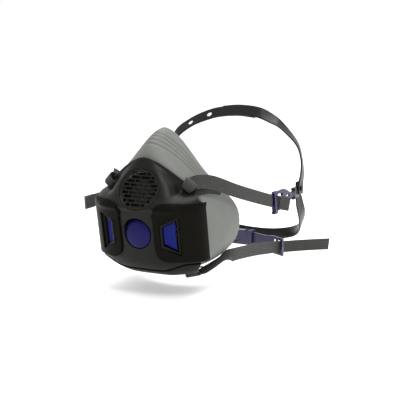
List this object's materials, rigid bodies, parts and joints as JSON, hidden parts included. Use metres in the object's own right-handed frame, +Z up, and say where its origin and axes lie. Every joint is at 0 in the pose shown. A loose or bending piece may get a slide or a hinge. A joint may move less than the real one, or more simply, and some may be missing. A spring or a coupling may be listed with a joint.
{
  "type": "respirator",
  "caption": "Half-mask respirator with a speaking grille, push-button seal check, side filter ports, head harness and clasped neck strap.",
  "frame": {"origin": "centre of the face opening, between nose and chin, where the wearer's face meets the mask", "axes": "+X to the wearer's left, +Y from the mask back through the head, +Z up"},
  "size_m": [0.1788, 0.2867, 0.1643],
  "materials": {
    "silicone": "matte",
    "black_shell": "satin",
    "black_inner": "matte",
    "blue": "glossy",
    "webbing": "woven",
    "cradle": "satin",
    "valve": "matte",
    "film": "satin",
    "spring_steel": "polished"
  },
  "bodies": {
    "mask": {"front_cover": "black_shell", "left_side_panel": "black_shell", "left_port_ring": "black_shell", "left_shutter_pin": "spring_steel", "right_side_panel": "black_shell", "right_port_ring": "black_shell", "right_shutter_pin": "spring_steel", "speaking_grille": "black_shell", "diaphragm_holder": "black_inner", "diaphragm_gasket": "valve", "diaphragm_film": "film", "diaphragm_clamp_ring": "black_inner", "button_spring": "spring_steel", "inner_frame": "black_inner", "left_port_seat": "black_inner", "right_port_seat": "black_inner", "exhalation_seat": "black_inner", "chin_guard": "black_shell", "facepiece": "silicone", "left_strap_loop": "webbing", "right_strap_loop": "webbing", "left_neck_loop": "webbing", "right_neck_loop": "webbing"},
    "seal_check": {"seal_check_button": "blue"},
    "left_shutter_lever": {"left_shutter": "blue"},
    "right_shutter_lever": {"right_shutter": "blue"},
    "left_inhalation_valve": {"left_inhalation_flap": "valve"},
    "right_inhalation_valve": {"right_inhalation_flap": "valve"},
    "exhalation_valve": {"exhalation_flap": "valve"},
    "harness": {"left_upper_strap": "webbing", "right_upper_strap": "webbing", "back_strip": "cradle", "left_crown_strip": "cradle", "right_crown_strip": "cradle", "left_ear_stud": "cradle", "right_ear_stud": "cradle", "left_buckle_pin": "blue", "right_buckle_pin": "blue"},
    "left_buckle_clip": {"left_buckle": "blue", "left_upper_tail": "webbing", "left_upper_tab": "webbing"},
    "right_buckle_clip": {"right_buckle": "blue", "right_upper_tail": "webbing", "right_upper_tab": "webbing"},
    "neck_band": {"left_neck_strap": "webbing", "right_neck_strap": "webbing", "clasp_socket": "blue", "right_neck_tail": "webbing"},
    "neck_hook": {"clasp_hook": "blue", "left_neck_tail": "webbing"}
  },
  "joints": [
    {"name": "seal_check_press", "type": "slide", "parent": "mask", "child": "seal_check", "axis": [0, 1, 0], "range_m": [0, 0.0025], "stiffness_N_per_m": 1000, "springref_m": -0.0005, "deforming": ["button_spring"]},
    {"name": "left_shutter_swing", "type": "hinge", "parent": "mask", "child": "left_shutter_lever", "pos_m": [0.0205, -0.0684, -0.012], "axis": [0, 0, 1], "range_deg": [-6.88, 0]},
    {"name": "right_shutter_swing", "type": "hinge", "parent": "mask", "child": "right_shutter_lever", "pos_m": [-0.0205, -0.0684, -0.012], "axis": [0, 0, 1], "range_deg": [0, 6.88]},
    {"name": "left_inhalation_lift", "type": "hinge", "parent": "mask", "child": "left_inhalation_valve", "pos_m": [0.02941, -0.05206, -0.0026], "axis": [0.9397, 0.342, 0], "range_deg": [0, 20], "stiffness_Nm_per_rad": 0.0005},
    {"name": "right_inhalation_lift", "type": "hinge", "parent": "mask", "child": "right_inhalation_valve", "pos_m": [-0.02941, -0.05206, -0.0026], "axis": [0.9397, -0.342, 0], "range_deg": [0, 20], "stiffness_Nm_per_rad": 0.0005},
    {"name": "exhalation_lift", "type": "hinge", "parent": "mask", "child": "exhalation_valve", "pos_m": [0, -0.06575, -0.0215], "axis": [-1, 0, 0], "range_deg": [0, 12], "stiffness_Nm_per_rad": 0.0005},
    {"name": "harness_swing", "type": "hinge", "parent": "mask", "child": "harness", "pos_m": [0, -0.036, 0.0356], "axis": [1, 0, 0], "range_deg": [0, 75]},
    {"name": "left_buckle_tilt", "type": "hinge", "parent": "harness", "child": "left_buckle_clip", "pos_m": [0.0745, 0.113, 0.0026], "axis": [0, 0, 1], "range_deg": [0, 20]},
    {"name": "right_buckle_tilt", "type": "hinge", "parent": "harness", "child": "right_buckle_clip", "pos_m": [-0.0745, 0.113, 0.0026], "axis": [0, 0, 1], "range_deg": [-20, 0]},
    {"name": "neck_band_swing", "type": "hinge", "parent": "mask", "child": "neck_band", "pos_m": [0, -0.0205, -0.0566], "axis": [1, 0, 0], "range_deg": [-20, 0]},
    {"name": "clasp_release", "type": "slide", "parent": "neck_band", "child": "neck_hook", "axis": [0, 0, 1], "range_m": [-0.016, 0]}
  ],
  "couplings": [
    {"joint": "left_shutter_swing", "follows": "seal_check_press", "rad_per_m": -48},
    {"joint": "right_shutter_swing", "follows": "seal_check_press", "rad_per_m": 48}
  ]
}
